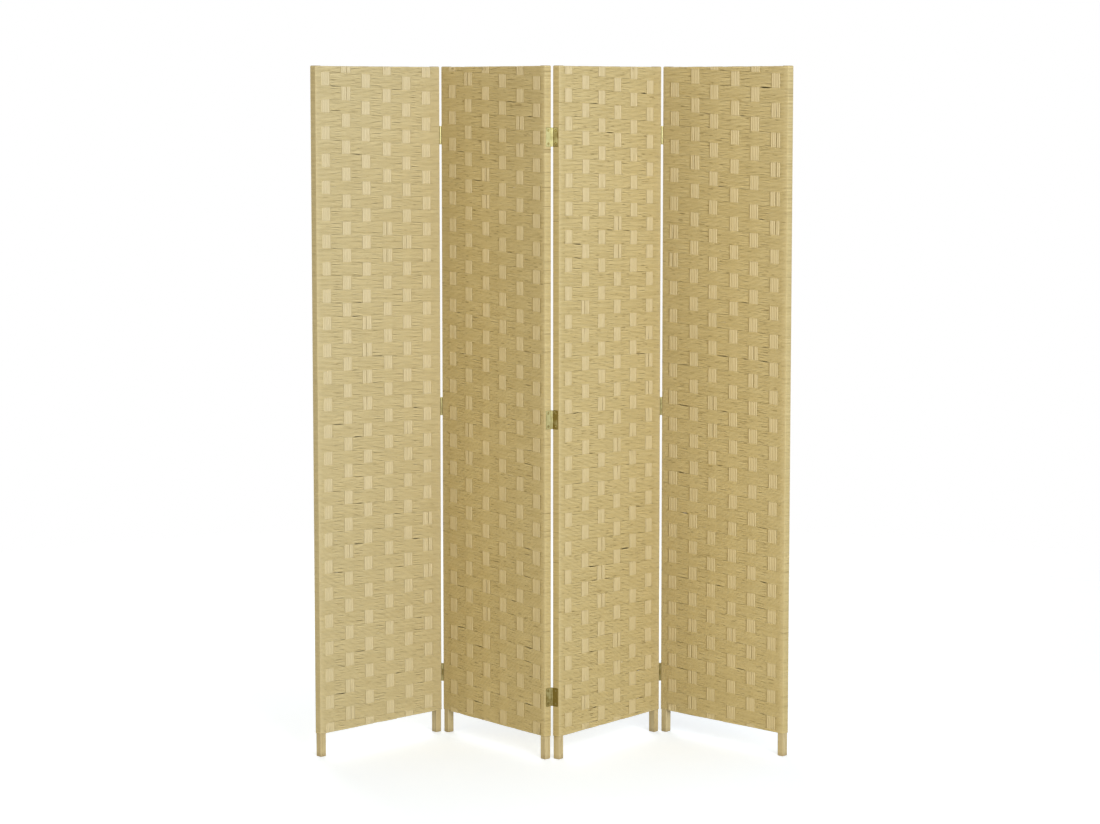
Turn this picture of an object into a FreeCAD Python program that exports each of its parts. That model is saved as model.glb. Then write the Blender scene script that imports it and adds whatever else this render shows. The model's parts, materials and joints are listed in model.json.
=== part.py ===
import FreeCAD, Part

import os
from math import cos, pi, sin

import Sketcher
from FreeCAD import Vector

# Four-panel folding screen. Each panel is two wooden posts joined by three tenoned rails, with flat
# warp bands looped over the rails and a weft of paper string wound around the posts. Three small butt
# hinges join each panel to the next, with their knuckles on the front and on the back by turns.
# Frame: +X along the screen, +Y to the back, +Z up, origin on the floor under the middle of the box.
# Panels are numbered from left to right, and each has its own frame: across, back and up, from the
# middle of its width and depth at floor level.

# Driving sizes in millimetres and degrees
SIZES = {
    "panel_height": 1700.0,       # floor to the top of a post
    "panel_width": 400.0,         # over the string at both ends
    "leg_length": 57.0,           # bare post under the weave
    "top_reveal": 2.0,            # bare post above the weave
    "post_width": 17.0,
    "post_depth": 18.0,
    "post_round": 1.5,
    "foot_chamfer": 0.8,
    "rail_height": 24.0,
    "tenon_length": 10.0,
    "tenon_height": 16.0,
    "tenon_depth": 7.0,
    "tenon_clearance": 0.1,
    "weave_skin": 1.2,            # thickness of the string layer
    "weave_gap": 0.1,             # slack between the layers and the frame
    "warp_count": 6,
    "warp_width": 26.0,
    "warp_thickness": 1.2,
    "warp_margin": 6.0,           # from a post to the nearest warp band
    "hinge_inset_bottom": 98.0,   # lower edge of the weave to the middle of the lower hinge
    "hinge_inset_top": 172.0,     # post top to the middle of the upper hinge
    "hinge_height": 46.0,
    "leaf_thickness": 1.0,
    "leaf_reach": 17.0,           # leaf width that lies on the panel's end
    "leaf_clearance": 0.25,       # leaf face to the plane through the pin
    "barrel_radius": 2.0,
    "knuckle_gap": 0.3,
    "axis_standoff": 1.3,         # pin axis outside the panel's face
    "pin_radius": 1.0,
    "pin_clearance": 0.05,
    "screw_spacing": 32.0,
    "screw_radius": 1.4,
    "screw_length": 12.0,
    "screw_tip": 3.0,
    "screw_point": 0.3,
    "screw_clearance": 0.1,
    "countersink_land": 0.2,      # straight wall left under a countersink
    "outer_angle": 43.5,          # panels 1 and 4, from the line of the screen
    "inner_angle": 49.5,          # panels 2 and 3
}

# Small round pieces that repeat are drawn with flat sides
BARREL_SIDES = 12
SCREW_SIDES = 6

# Sizes and places that follow from the driving ones
LAYOUT = {
    "skin_total": "Sizes.weave_skin + Sizes.weave_gap",
    "panel_depth": "Sizes.post_depth + 2 * Layout.skin_total",
    "frame_width": "Sizes.panel_width - 2 * Layout.skin_total",
    "weave_top": "Sizes.panel_height - Sizes.top_reveal",
    "weave_height": "Layout.weave_top - Sizes.leg_length",
    "weave_round": "Sizes.post_round + Layout.skin_total",
    "post_place": "(Layout.frame_width - Sizes.post_width) / 2",
    "bay_width": "Layout.frame_width - 2 * Sizes.post_width",
    "rail_depth": "Sizes.post_depth - 2 * (Sizes.warp_thickness + Sizes.weave_gap)",
    "rail_inset": "Sizes.warp_thickness + Sizes.weave_gap + Sizes.rail_height / 2",
    "bottom_rail_up": "Sizes.leg_length + Layout.rail_inset",
    "top_rail_up": "Layout.weave_top - Layout.rail_inset",
    "middle_rail_up": "(Layout.bottom_rail_up + Layout.top_rail_up) / 2",
    "mortise_half_depth": "Sizes.tenon_depth / 2 + Sizes.tenon_clearance",
    "mortise_half_height": "Sizes.tenon_height / 2 + Sizes.tenon_clearance",
    "warp_run": "Layout.bay_width - 2 * Sizes.warp_margin - Sizes.warp_width",
    "leaf_seat": "Sizes.leaf_thickness + Sizes.leaf_clearance",
    "leaf_end": "Sizes.axis_standoff + Sizes.leaf_reach",
    "axis_across": "Sizes.panel_width / 2 + Layout.leaf_seat",
    "axis_back": "Layout.panel_depth / 2 + Sizes.axis_standoff",
    "lower_up": "Sizes.leg_length + Sizes.hinge_inset_bottom",
    "upper_up": "Sizes.panel_height - Sizes.hinge_inset_top",
    "middle_up": "(Layout.lower_up + Layout.upper_up) / 2",
    "hinge_run": "Layout.upper_up - Layout.lower_up",
    "barrel_bore": f"(Sizes.pin_radius + Sizes.pin_clearance) / cos(180 / {BARREL_SIDES})",
    "barrel_room": "Sizes.barrel_radius + Sizes.knuckle_gap",
    "knuckle_keep": "Sizes.hinge_height / 6 - Sizes.knuckle_gap / 2",
    "knuckle_room": "Sizes.hinge_height / 6 + Sizes.knuckle_gap / 2",
    "countersink": "Sizes.leaf_thickness - Sizes.countersink_land",
    "screw_bore": "Sizes.screw_radius + Sizes.screw_clearance",
    "head_face": "Sizes.leaf_clearance + Sizes.screw_clearance / 2",
    "pilot_depth": "Layout.head_face + Sizes.screw_length + Sizes.screw_clearance"
                   " - Layout.leaf_seat - Layout.skin_total",
    "turn_1": "Sizes.outer_angle",
    "turn_2": "-Sizes.inner_angle",
    "turn_3": "Sizes.inner_angle",
    "turn_4": "-Sizes.outer_angle",
    "fold_x": "2 * (cos(Layout.turn_3) * Layout.axis_across + sin(Layout.turn_3) * Layout.axis_back)",
    "fold_y": "2 * (sin(Layout.turn_3) * Layout.axis_across - cos(Layout.turn_3) * Layout.axis_back)",
    "outer_x": "Layout.fold_x + cos(Layout.turn_1) * Layout.axis_across"
               " + sin(Layout.turn_1) * Layout.axis_back",
    "outer_y": "Layout.fold_y - sin(Layout.turn_1) * Layout.axis_across"
               " + cos(Layout.turn_1) * Layout.axis_back",
    "round_across": "Sizes.panel_width / 2 - Layout.weave_round",
    "round_back": "Layout.panel_depth / 2 - Layout.weave_round",
    "reach_inner": "sin(Layout.turn_3) * Layout.round_across"
                   " + cos(Layout.turn_3) * Layout.round_back + Layout.weave_round",
    "reach_outer": "sin(Layout.turn_1) * Layout.round_across"
                   " + cos(Layout.turn_1) * Layout.round_back + Layout.weave_round",
    "near_side": "min(Layout.fold_y / 2 - Layout.reach_inner; Layout.outer_y - Layout.reach_outer)",
    "far_side": "max(Layout.fold_y / 2 + Layout.reach_inner; Layout.outer_y + Layout.reach_outer)",
    "middle_y": "-(Layout.near_side + Layout.far_side) / 2",
    "centre_x_1": "-Layout.outer_x",
    "centre_x_2": "-Layout.fold_x / 2",
    "centre_x_3": "Layout.fold_x / 2",
    "centre_x_4": "Layout.outer_x",
    "centre_y_1": "Layout.middle_y + Layout.outer_y",
    "centre_y_2": "Layout.middle_y + Layout.fold_y / 2",
    "centre_y_3": "Layout.middle_y + Layout.fold_y / 2",
    "centre_y_4": "Layout.middle_y + Layout.outer_y",
}

# Hinged ends of each panel, with the face that the knuckles stand on
HINGED_ENDS = {
    1: {"right": "front"},
    2: {"left": "front", "right": "back"},
    3: {"left": "back", "right": "front"},
    4: {"left": "front"},
}
HINGE_LEVELS = ("lower", "middle", "upper")
RAIL_LEVELS = ("bottom", "middle", "top")
FIND_TOLERANCE = 1e-4

doc = FreeCAD.newDocument("folding_screen")
subparts = []


def make_sheet():
    sheet = doc.addObject("Spreadsheet::Sheet", "Sizes")
    for row, (alias, size) in enumerate(SIZES.items(), start=1):
        sheet.set(f"B{row}", str(size))
        sheet.setAlias(f"B{row}", alias)
    doc.recompute()
    layout = doc.addObject("App::VarSet", "Layout")
    for name, formula in LAYOUT.items():
        layout.addProperty("App::PropertyFloat", name)
        layout.setExpression(name, formula)
    doc.recompute()


def read(formula):
    return float(doc.Layout.evalExpression(formula))


def add_body(label):
    body = doc.addObject("PartDesign::Body", label)
    body.Label = label
    subparts.append(body)
    return body


def place(body, panel, across="0", back="0", up="0", flip=(0, 0, 0)):
    """Put a piece in a panel's frame, after its own yaw, pitch and roll."""
    turn = f"Layout.turn_{panel}"
    x = f"Layout.centre_x_{panel} + cos({turn}) * ({across}) - sin({turn}) * ({back})"
    y = f"Layout.centre_y_{panel} + sin({turn}) * ({across}) + cos({turn}) * ({back})"
    yaw, pitch, roll = flip
    body.setExpression(
        "Placement",
        f"placement(vector({x}; {y}; {up}); rotation({turn} + {yaw}; {pitch}; {roll}))",
    )


# Sketches

def origin_item(body, role):
    return next(item for item in body.Origin.OriginFeatures if item.Role == role)


def add_sketch(body, name, plane, offset=None):
    sketch = body.newObject("Sketcher::SketchObject", f"{body.Name}_{name}")
    sketch.AttachmentSupport = (origin_item(body, plane), [""])
    sketch.MapMode = "FlatFace"
    if offset:
        sketch.setExpression("AttachmentOffset.Base.z", offset)
    return sketch


def constrain(sketch, kind, *references):
    sketch.addConstraint(Sketcher.Constraint(kind, *references))


def bind(sketch, kind, references, formula):
    """Add a dimension that follows a formula."""
    index = sketch.addConstraint(Sketcher.Constraint(kind, *references, read(formula)))
    name = f"size_{index}"
    sketch.renameConstraint(index, name)
    sketch.setExpression(f"Constraints.{name}", formula)


def locate(sketch, item, point, x, y):
    """Dimension a point from the origin, or put it on an axis where its formula is zero."""
    for kind, axis, formula in (("DistanceX", -2, x), ("DistanceY", -1, y)):
        if formula == "0":
            constrain(sketch, "PointOnObject", item, point, axis)
        else:
            bind(sketch, kind, (-1, 1, item, point), formula)


def draw_loop(sketch, points):
    """Closed chain of straight lines; returns the lines' numbers."""
    lines = [sketch.addGeometry(Part.LineSegment(start, end))
             for start, end in zip(points, points[1:] + points[:1])]
    for line, following in zip(lines, lines[1:] + lines[:1]):
        constrain(sketch, "Coincident", line, 2, following, 1)
    return lines


def draw_rectangle(sketch, left, right, low, high):
    corners = [(left, low), (right, low), (right, high), (left, high)]
    lines = draw_loop(sketch, [Vector(read(x), read(y), 0) for x, y in corners])
    constrain(sketch, "Horizontal", lines[0])
    constrain(sketch, "Vertical", lines[1])
    constrain(sketch, "Horizontal", lines[2])
    constrain(sketch, "Vertical", lines[3])
    locate(sketch, lines[0], 1, left, low)
    locate(sketch, lines[2], 1, right, high)


def draw_centred(sketch, half_width, half_height):
    draw_rectangle(sketch, f"-({half_width})", half_width, f"-({half_height})", half_height)


def draw_rounded(sketch, width, height, radius):
    """Rectangle with round corners about the sketch's origin."""
    x = read(width) / 2
    y = read(height) / 2
    r = read(radius)
    ends = [
        (Vector(r - x, -y, 0), Vector(x - r, -y, 0)),
        (Vector(x, r - y, 0), Vector(x, y - r, 0)),
        (Vector(x - r, y, 0), Vector(r - x, y, 0)),
        (Vector(-x, y - r, 0), Vector(-x, r - y, 0)),
    ]
    lines = [sketch.addGeometry(Part.LineSegment(*pair)) for pair in ends]
    reach = r / 2 ** 0.5
    arcs = []
    for step, (sign_x, sign_y) in enumerate(((1, -1), (1, 1), (-1, 1), (-1, -1))):
        middle = Vector(sign_x * (x - r + reach), sign_y * (y - r + reach), 0)
        arc = Part.Arc(ends[step][1], middle, ends[(step + 1) % 4][0])
        arcs.append(sketch.addGeometry(arc))
    for step in range(4):
        constrain(sketch, "Tangent", lines[step], 2, arcs[step], 1)
        constrain(sketch, "Tangent", arcs[step], 2, lines[(step + 1) % 4], 1)
        constrain(sketch, "Vertical" if step % 2 else "Horizontal", lines[step])
    for arc in arcs[1:]:
        constrain(sketch, "Equal", arcs[0], arc)
    constrain(sketch, "Symmetric", lines[0], 1, lines[2], 1, -1, 1)
    bind(sketch, "Radius", (arcs[0],), radius)
    bind(sketch, "DistanceX", (lines[3], 1, lines[1], 1), width)
    bind(sketch, "DistanceY", (lines[0], 1, lines[2], 1), height)


def draw_guide_circle(sketch, x, y, radius):
    round_line = Part.Circle(Vector(read(x), read(y), 0), Vector(0, 0, 1), read(radius))
    circle = sketch.addGeometry(round_line, True)
    locate(sketch, circle, 3, x, y)
    bind(sketch, "Radius", (circle,), radius)
    return circle


def draw_regular(sketch, sides, x, y, radius):
    """Regular outline on a guide circle, with an upright side."""
    size = read(radius)
    angles = [pi * (2 * step + 1) / sides for step in range(sides)]
    points = [Vector(read(x) + size * cos(angle), read(y) + size * sin(angle), 0) for angle in angles]
    lines = draw_loop(sketch, points)
    circle = draw_guide_circle(sketch, x, y, radius)
    for line in lines:
        constrain(sketch, "PointOnObject", line, 1, circle)
    for line in lines[1:]:
        constrain(sketch, "Equal", lines[0], line)
    constrain(sketch, "Vertical", lines[-1])


# Features

def pad(body, name, sketch, length, symmetric=False):
    feature = body.newObject("PartDesign::Pad", f"{body.Name}_{name}")
    feature.Profile = sketch
    feature.SideType = "Symmetric" if symmetric else "One side"
    feature.setExpression("Length", length)
    doc.recompute()
    return feature


def pocket(body, name, sketch, length=None, reverse=False):
    """Cut to a depth, or right through both ways, and make sure that something was cut."""
    before = body.Shape.Volume
    feature = body.newObject("PartDesign::Pocket", f"{body.Name}_{name}")
    feature.Profile = sketch
    if length:
        feature.Reversed = reverse
        feature.setExpression("Length", length)
    else:
        feature.SideType = "Symmetric"
        feature.Type = "ThroughAll"
    doc.recompute()
    if not body.Shape.Volume < before:
        raise RuntimeError(f"{feature.Name} cuts nothing")
    return feature


def chamfer(body, name, places, size):
    """Chamfer the given edges or faces of the body's last feature."""
    base = body.Tip
    feature = body.newObject("PartDesign::Chamfer", f"{body.Name}_{name}")
    feature.Base = (base, places)
    feature.setExpression("Size", size)
    doc.recompute()


def line_pattern(body, name, axis, length, count):
    feature = body.newObject("PartDesign::LinearPattern", f"{body.Name}_{name}")
    feature.Direction = (origin_item(body, axis), [""])
    feature.setExpression("Length", length)
    feature.setExpression("Occurrences", count)
    return feature


def repeat(body, feature, *patterns):
    """Repeat one feature by a pattern, or by each of several in turn."""
    result = patterns[0]
    if len(patterns) > 1:
        result = body.newObject("PartDesign::MultiTransform", f"{body.Name}_repeat")
        result.Transformations = list(patterns)
    result.Originals = [feature]
    body.Tip = result
    doc.recompute()


def hinge_pattern(body):
    return line_pattern(body, "hinges", "Z_Axis", "Layout.hinge_run", str(len(HINGE_LEVELS)))


def draw_screw_bores(sketch):
    """Bores of a panel end's six screws, at their heights above the floor."""
    for level in HINGE_LEVELS:
        for sign in ("-", "+"):
            height = f"Layout.{level}_up {sign} Sizes.screw_spacing / 2"
            draw_regular(sketch, SCREW_SIDES, "0", height, "Layout.screw_bore")


# Panel pieces

def make_post(panel, side):
    """Upright with a mortise for each rail; its outer face is at its own low X."""
    body = add_body(f"{side}_post_{panel}")
    section = add_sketch(body, "section", "XY_Plane")
    draw_rounded(section, "Sizes.post_width", "Sizes.post_depth", "Sizes.post_round")
    stick = pad(body, "stick", section, "Sizes.panel_height")
    foot = [f"Face{index}" for index, face in enumerate(stick.Shape.Faces, start=1)
            if face.BoundBox.ZMax < FIND_TOLERANCE]
    chamfer(body, "foot", foot, "Sizes.foot_chamfer")
    mortises = add_sketch(body, "mortises", "YZ_Plane", "Sizes.post_width / 2")
    half_depth = "Layout.mortise_half_depth"
    for level in RAIL_LEVELS:
        low = f"Layout.{level}_rail_up - Layout.mortise_half_height"
        high = f"Layout.{level}_rail_up + Layout.mortise_half_height"
        draw_rectangle(mortises, f"-{half_depth}", half_depth, low, high)
    pocket(body, "mortise_cuts", mortises, "Sizes.tenon_length + Sizes.tenon_clearance")
    if side in HINGED_ENDS[panel]:
        pilots = add_sketch(body, "pilots", "YZ_Plane", "-Sizes.post_width / 2")
        draw_screw_bores(pilots)
        pocket(body, "pilot_holes", pilots, "Layout.pilot_depth", reverse=True)
    if side == "left":
        place(body, panel, "-Layout.post_place")
    else:
        place(body, panel, "Layout.post_place", flip=(180, 0, 0))


def make_rail(panel, level):
    """Cross bar between the posts, with a tenon at each end."""
    body = add_body(f"{level}_rail_{panel}")
    section = add_sketch(body, "section", "YZ_Plane")
    draw_centred(section, "Layout.rail_depth / 2", "Sizes.rail_height / 2")
    pad(body, "bar", section, "Layout.bay_width", symmetric=True)
    core = add_sketch(body, "core", "YZ_Plane")
    draw_centred(core, "Sizes.tenon_depth / 2", "Sizes.tenon_height / 2")
    pad(body, "tenons", core, "Layout.bay_width + 2 * Sizes.tenon_length", symmetric=True)
    place(body, panel, up=f"Layout.{level}_rail_up")


def make_warp(panel):
    """Flat bands, each a closed loop over the top rail and under the bottom one."""
    body = add_body(f"warp_bands_{panel}")
    loop = add_sketch(body, "loop", "YZ_Plane", "-Layout.warp_run / 2")
    outer = "Sizes.post_depth / 2"
    inner = f"({outer} - Sizes.warp_thickness)"
    draw_rectangle(loop, f"-{outer}", outer, "Sizes.leg_length", "Layout.weave_top")
    draw_rectangle(
        loop,
        f"-{inner}",
        inner,
        "Sizes.leg_length + Sizes.warp_thickness",
        "Layout.weave_top - Sizes.warp_thickness",
    )
    band = pad(body, "band", loop, "Sizes.warp_width", symmetric=True)
    repeat(body, band, line_pattern(body, "bands", "X_Axis", "Layout.warp_run", "Sizes.warp_count"))
    place(body, panel)


def make_weft(panel):
    """String wound around both posts from the legs to the top, as one closed sleeve."""
    body = add_body(f"weft_weave_{panel}")
    section = add_sketch(body, "section", "XY_Plane", "Sizes.leg_length")
    draw_rounded(section, "Sizes.panel_width", "Layout.panel_depth", "Layout.weave_round")
    slack = "2 * Sizes.weave_gap"
    draw_rounded(
        section,
        f"Layout.frame_width + {slack}",
        f"Sizes.post_depth + {slack}",
        "Sizes.post_round + Sizes.weave_gap",
    )
    pad(body, "sleeve", section, "Layout.weave_height")
    for side in HINGED_ENDS[panel]:
        sign = "-" if side == "left" else ""
        holes = add_sketch(body, f"{side}_holes", "YZ_Plane", f"{sign}Sizes.panel_width / 2")
        draw_screw_bores(holes)
        pocket(body, f"{side}_screw_holes", holes, "Layout.skin_total", reverse=side == "left")
    place(body, panel)


# Hinge pieces, drawn with the panel towards +X: a leaf and a pin stand on the pin's axis with the
# panel's depth towards +Y, and a screw stands in the middle of the panel's depth

def end_across(side):
    return "-Layout.axis_across" if side == "left" else "Layout.axis_across"


def place_on_axis(body, panel, side, up, flip):
    back = "-Layout.axis_back" if HINGED_ENDS[panel][side] == "front" else "Layout.axis_back"
    place(body, panel, end_across(side), back, up, flip)


def leaf_flip(panel, side):
    """Yaw, pitch and roll of a leaf, which is the same either way up."""
    front = HINGED_ENDS[panel][side] == "front"
    if side == "left":
        return (0, 0, 0) if front else (0, 0, 180)
    return (0, 180, 0) if front else (180, 0, 0)


def make_leaf(panel, side, level):
    """Butt hinge leaf: two end knuckles on a panel's right end, one middle knuckle on a left end."""
    body = add_body(f"{level}_leaf_{panel}_{side}")
    half = "Sizes.hinge_height / 2"
    outline = add_sketch(body, "outline", "YZ_Plane", "Sizes.leaf_clearance")
    draw_rectangle(outline, "Layout.barrel_bore", "Layout.leaf_end", f"-{half}", half)
    pad(body, "plate", outline, "Sizes.leaf_thickness")
    ring = add_sketch(body, "ring", "XY_Plane")
    draw_regular(ring, BARREL_SIDES, "0", "0", "Sizes.barrel_radius")
    pad(body, "barrel", ring, "Sizes.hinge_height", symmetric=True)
    hole = add_sketch(body, "hole", "XY_Plane")
    draw_regular(hole, BARREL_SIDES, "0", "0", "Layout.barrel_bore")
    pocket(body, "pin_bore", hole)
    notch = add_sketch(body, "notch", "YZ_Plane")
    room = "Layout.barrel_room"
    if side == "right":
        draw_centred(notch, room, "Layout.knuckle_room")
    else:
        draw_rectangle(notch, f"-{room}", room, "Layout.knuckle_keep", "Sizes.hinge_height")
        draw_rectangle(notch, f"-{room}", room, "-Sizes.hinge_height", "-Layout.knuckle_keep")
    pocket(body, "knuckle_cuts", notch)

    holes = add_sketch(body, "holes", "YZ_Plane")
    for sign in ("-", ""):
        height = f"{sign}Sizes.screw_spacing / 2"
        draw_regular(holes, SCREW_SIDES, "Layout.axis_back", height, "Layout.screw_bore")
    drilled = pocket(body, "screw_holes", holes)
    face = read("Sizes.leaf_clearance")
    side_length = read("Layout.screw_bore")
    rims = [f"Edge{index}" for index, edge in enumerate(drilled.Shape.Edges, start=1)
            if abs(edge.Length - side_length) < FIND_TOLERANCE
            and abs(edge.CenterOfMass.x - face) < FIND_TOLERANCE]
    chamfer(body, "countersinks", rims, "Layout.countersink")
    place_on_axis(body, panel, side, f"Layout.{level}_up", leaf_flip(panel, side))


def make_screws(panel, side):
    """Countersunk wood screws of one panel end, flush with the leaves and driven into the post."""
    body = add_body(f"hinge_screws_{panel}_{side}")
    tip = "Layout.head_face + Sizes.screw_length"
    stations = {
        "head": ("Layout.head_face", "Sizes.screw_radius + Layout.countersink"),
        "neck": ("Layout.head_face + Layout.countersink", "Sizes.screw_radius"),
        "shank": (f"{tip} - Sizes.screw_tip", "Sizes.screw_radius"),
        "tip": (tip, "Sizes.screw_point"),
    }
    height = "Layout.lower_up - Sizes.screw_spacing / 2"
    sections = []
    for name, (depth, radius) in stations.items():
        section = add_sketch(body, name, "YZ_Plane", depth)
        draw_regular(section, SCREW_SIDES, "0", height, radius)
        sections.append(section)
    screw = body.newObject("PartDesign::AdditiveLoft", f"{body.Name}_turned")
    screw.Profile = sections[0]
    screw.Sections = sections[1:]
    screw.Ruled = True
    doc.recompute()
    pairs = line_pattern(body, "pairs", "Z_Axis", "Sizes.screw_spacing", "2")
    repeat(body, screw, pairs, hinge_pattern(body))
    place(body, panel, end_across(side), flip=(0 if side == "left" else 180, 0, 0))


def make_pins(panel):
    """Pins of the hinges between a panel and the next, held in the panel's right leaves."""
    body = add_body(f"hinge_pins_{panel}_{panel + 1}")
    section = add_sketch(body, "section", "XY_Plane", "Layout.lower_up - Sizes.hinge_height / 2")
    draw_regular(section, BARREL_SIDES, "0", "0", "Sizes.pin_radius")
    pin = pad(body, "pin", section, "Sizes.hinge_height")
    repeat(body, pin, hinge_pattern(body))
    place_on_axis(body, panel, "right", "0", (0, 0, 0))


def make_panel(panel):
    for side in ("left", "right"):
        make_post(panel, side)
    for level in RAIL_LEVELS:
        make_rail(panel, level)
    make_warp(panel)
    make_weft(panel)
    for side in HINGED_ENDS[panel]:
        for level in HINGE_LEVELS:
            make_leaf(panel, side, level)
        make_screws(panel, side)
    if "right" in HINGED_ENDS[panel]:
        make_pins(panel)


def check_and_write():
    doc.recompute()
    for item in doc.Objects:
        if "Invalid" in item.State or "Error" in item.State:
            raise RuntimeError(f"{item.Name} failed: {item.State}")
    for body in subparts:
        if body.Shape.isNull() or not body.Shape.isValid():
            raise RuntimeError(f"{body.Label} has no valid shape")
    os.makedirs("parts", exist_ok=True)
    for body in subparts:
        body.Shape.exportStep(f"parts/{body.Label}.step")
    print(f"{len(subparts)} sub-parts written")


make_sheet()
for number in HINGED_ENDS:
    make_panel(number)
check_and_write()
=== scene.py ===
import json
from math import acos, cos, pi, radians, sin

import bmesh
import bpy
from mathutils import Matrix, Vector


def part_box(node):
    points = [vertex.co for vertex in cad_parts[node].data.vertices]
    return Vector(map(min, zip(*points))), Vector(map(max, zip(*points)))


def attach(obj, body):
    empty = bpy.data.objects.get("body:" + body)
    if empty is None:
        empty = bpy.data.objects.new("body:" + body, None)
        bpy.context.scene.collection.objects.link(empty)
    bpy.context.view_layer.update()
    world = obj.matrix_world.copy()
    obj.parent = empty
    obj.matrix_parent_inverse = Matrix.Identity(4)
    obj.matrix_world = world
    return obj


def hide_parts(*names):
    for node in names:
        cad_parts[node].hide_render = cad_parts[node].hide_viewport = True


# Folding screen of four woven panels. The frame gives every place and joint; lengths are metres.
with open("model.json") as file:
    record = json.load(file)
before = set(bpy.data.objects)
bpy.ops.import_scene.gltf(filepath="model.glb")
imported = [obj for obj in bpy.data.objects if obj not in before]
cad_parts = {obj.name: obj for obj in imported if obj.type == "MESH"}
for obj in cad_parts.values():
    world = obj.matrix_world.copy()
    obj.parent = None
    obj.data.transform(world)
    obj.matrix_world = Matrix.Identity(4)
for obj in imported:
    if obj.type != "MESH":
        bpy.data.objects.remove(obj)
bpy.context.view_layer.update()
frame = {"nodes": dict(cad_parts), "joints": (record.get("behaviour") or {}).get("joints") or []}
scene = bpy.context.scene
scene.view_settings.view_transform = "Standard"
panels = (1, 2, 3, 4)


# Node helpers

class Field:
    # one output socket; sums and products of fields add their Math nodes
    def __init__(self, graph, socket):
        self.graph = graph
        self.socket = socket

    def math(self, operation, *others):
        return self.graph.add("ShaderNodeMath", {"operation": operation}, dict(enumerate((self, *others))))

    def other(self, name):
        return Field(self.graph, self.socket.node.outputs[name])

    def __add__(self, other):
        return self.math("ADD", other)

    def __sub__(self, other):
        return self.math("SUBTRACT", other)

    def __rsub__(self, other):
        return self.graph.add("ShaderNodeMath", {"operation": "SUBTRACT"}, {0: other, 1: self})

    def __mul__(self, other):
        return self.math("MULTIPLY", other)

    def __truediv__(self, other):
        return self.math("DIVIDE", other)

    def __mod__(self, other):
        return self.math("FLOORED_MODULO", other)

    def __pow__(self, other):
        return self.math("POWER", other)

    def __abs__(self):
        return self.math("ABSOLUTE")

    def __gt__(self, other):
        return self.math("GREATER_THAN", other)

    def __lt__(self, other):
        return self.math("LESS_THAN", other)

    def floor(self):
        return self.math("FLOOR")

    def clip(self, low, high):
        return self.math("MAXIMUM", low).math("MINIMUM", high)

    __radd__ = __add__
    __rmul__ = __mul__


class Graph:
    # a node tree; add() makes any node, with its settings first and then its sockets
    def __init__(self, tree):
        self.tree = tree

    def add(self, kind, settings=None, values=None, out=0):
        node = self.tree.nodes.new(kind)
        for name, setting in (settings or {}).items():
            setattr(node, name, setting)
        self.feed(node, values or {})
        return Field(self, node.outputs[out])

    def feed(self, node, values):
        for name, value in values.items():
            if isinstance(value, Field):
                self.tree.links.new(value.socket, node.inputs[name])
            else:
                node.inputs[name].default_value = value

    def attribute(self, name):
        return self.add("ShaderNodeAttribute", {"attribute_name": name}, out="Fac")

    def vector(self, x, y, z):
        return self.add("ShaderNodeCombineXYZ", {}, {0: x, 1: y, 2: z})

    def split(self, vector):
        parts = self.add("ShaderNodeSeparateXYZ", {}, {0: vector})
        return parts, parts.other("Y"), parts.other("Z")

    def noise(self, vector, scale=1.0, detail=2.0, out="Fac"):
        return self.add("ShaderNodeTexNoise", {}, {"Vector": vector, "Scale": scale, "Detail": detail}, out)

    def mixColour(self, factor, first, second):
        first, second = [c if isinstance(c, Field) else (*c, 1) for c in (first, second)]
        return self.add("ShaderNodeMix", {"data_type": "RGBA"}, {0: factor, 6: first, 7: second}, 2)


# Materials

def newMaterial(name):
    material = bpy.data.materials.new(name)
    material.use_nodes = True
    graph = Graph(material.node_tree)
    shader = material.node_tree.nodes["Principled BSDF"]
    return material, graph, shader


def bumped(graph, height, distance, strength):
    values = {"Height": height, "Distance": distance, "Strength": strength}
    return graph.add("ShaderNodeBump", {}, values)


def srgb(red, green, blue):
    return tuple(((c / 255 + 0.055) / 1.055) ** 2.4 for c in (red, green, blue))


paperSpec = {
    "twistLength": 0.009,     # one turn of the paper's twist
    "twistStart": 7,          # strings begin their twist up to this many turns apart
    "twistShade": 0.05,
    "fibreLength": 0.028,
    "fibresAround": 3,
    "laneStep": 190,          # far enough that no two strings share their fibres
    "ownTone": 0.35,          # how much of a string's tone is its own, its fibres' and its place's
    "fibreTone": 0.9,
    "patchTone": 0.5,
    "patchScale": 5.0,
    "lightness": 0.45,
    "dashLength": 0.030,      # painted shade: dark dashes along a string, as in the gaps where strings part, where the noise is above a limit
    "dashesAround": 1.5,
    "dashPlane": 30,          # keeps the dashes apart from the fibres
    "dashFrom": 0.63,
    "dashSharp": 10,
    "paintedHighlightBelow": 0.40,       # and painted highlights, pale streaks, where it is below one
    "paintedHighlightSharp": 7,
    "paintedHighlight": 0.4,
    "twistRelief": -0.25,
    "fibreRelief": 1.4,
    "bumpHeight": 0.00025,
    "bumpStrength": 0.7,
    "roughness": (0.62, 0.86),
    "specular": 0.3,
    "wearAndPaintedLight": srgb(226, 211, 168),
    "cornerWearAndHighlight": 0.25,             # paler where a string bends around a post or a rail: wear and a painted highlight on the corner
    "paintedLowShade": srgb(188, 162, 92),
    "paintedPaleTone": srgb(236, 240, 225),
    "paledCalm": 5,           # how fast the painted shade dashes go where the paper is drawn paler
    "paintedShadeBelow": 1.5,      # painted shade: the paper is drawn a little darker towards the floor, where the light is weaker
    "paintedShadePerMetre": 0.18,        # for each metre
}


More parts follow.
